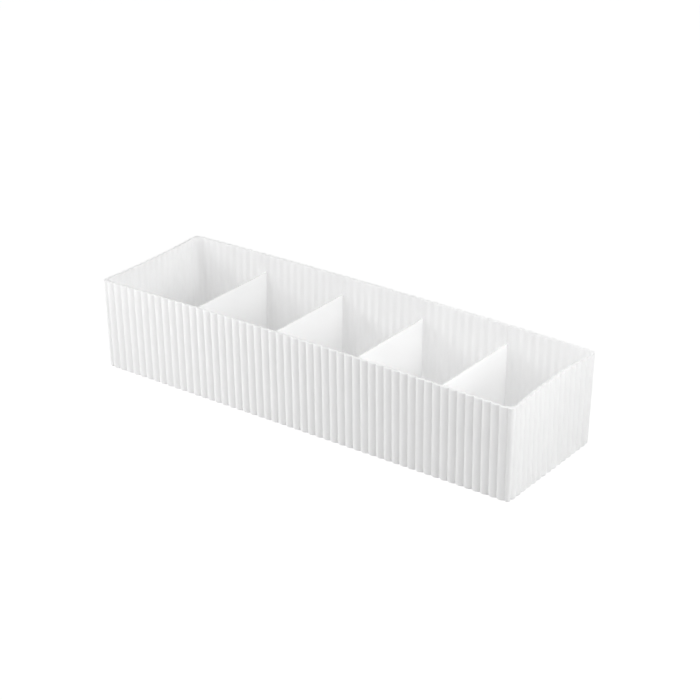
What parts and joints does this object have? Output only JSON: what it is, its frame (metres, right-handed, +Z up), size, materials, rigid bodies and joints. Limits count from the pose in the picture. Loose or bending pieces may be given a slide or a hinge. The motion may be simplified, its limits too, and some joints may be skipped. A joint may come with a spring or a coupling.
{
  "type": "drawer organizer insert",
  "caption": "Long open tray with reeded, slightly flared walls and thin drop-in cross dividers that part it into equal compartments for small things in a drawer.",
  "frame": {"origin": "centre of the flat underside, on the surface that the tray stands on", "axes": "+X along the length of the tray, across the dividers; +Y across the tray to its back wall; +Z up, out of the open top"},
  "size_m": [0.3282, 0.1008, 0.0664],
  "materials": {
    "tray": "satin white moulded polypropylene",
    "divider": "smooth satin white moulded polypropylene"
  },
  "bodies": {
    "tray": {"tray": "tray"},
    "divider_1": {"divider_1": "divider"},
    "divider_2": {"divider_2": "divider"},
    "divider_3": {"divider_3": "divider"},
    "divider_4": {"divider_4": "divider"}
  },
  "joints": [
    {"name": "divider_1_lift", "type": "slide", "parent": "tray", "child": "divider_1", "axis": [0, 0, 1], "range_m": [0, 0.07]},
    {"name": "divider_2_lift", "type": "slide", "parent": "tray", "child": "divider_2", "axis": [0, 0, 1], "range_m": [0, 0.07]},
    {"name": "divider_3_lift", "type": "slide", "parent": "tray", "child": "divider_3", "axis": [0, 0, 1], "range_m": [0, 0.07]},
    {"name": "divider_4_lift", "type": "slide", "parent": "tray", "child": "divider_4", "axis": [0, 0, 1], "range_m": [0, 0.07]}
  ]
}
